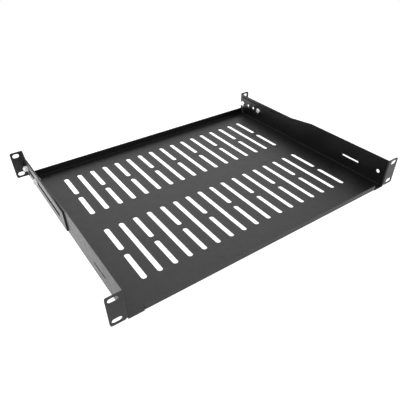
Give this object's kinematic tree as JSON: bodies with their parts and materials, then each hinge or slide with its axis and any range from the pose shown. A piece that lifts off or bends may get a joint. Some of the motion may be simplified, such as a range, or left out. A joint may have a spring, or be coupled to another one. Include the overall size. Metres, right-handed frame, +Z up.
{
  "type": "rack shelf",
  "caption": "Vented 1U rack shelf of folded black steel with side walls, a front lip and two adjustable rear mounting brackets.",
  "frame": {"origin": "centre of the four front rack slots, on the front face of the front ears", "axes": "+X to the right seen from the front, +Y to the back of the rack, +Z up"},
  "size_m": [0.4826, 0.357, 0.053],
  "materials": {
    "black_powder_coat": "fine textured satin powder coat",
    "bright_zinc": "bright zinc plating"
  },
  "bodies": {
    "tray_body": {"tray": "black_powder_coat", "left_front_screw": "bright_zinc", "left_front_washer": "bright_zinc", "left_front_nut": "bright_zinc", "left_rear_screw": "bright_zinc", "left_rear_washer": "bright_zinc", "left_rear_nut": "bright_zinc", "right_front_screw": "bright_zinc", "right_front_washer": "bright_zinc", "right_front_nut": "bright_zinc", "right_rear_screw": "bright_zinc", "right_rear_washer": "bright_zinc", "right_rear_nut": "bright_zinc"},
    "left_bracket_body": {"left_bracket": "black_powder_coat"},
    "right_bracket_body": {"right_bracket": "black_powder_coat"}
  },
  "joints": [
    {"name": "left_bracket_slide", "type": "slide", "parent": "tray_body", "child": "left_bracket_body", "axis": [0, 1, 0], "range_m": [0, 0.1]},
    {"name": "right_bracket_slide", "type": "slide", "parent": "tray_body", "child": "right_bracket_body", "axis": [0, 1, 0], "range_m": [0, 0.1]}
  ]
}
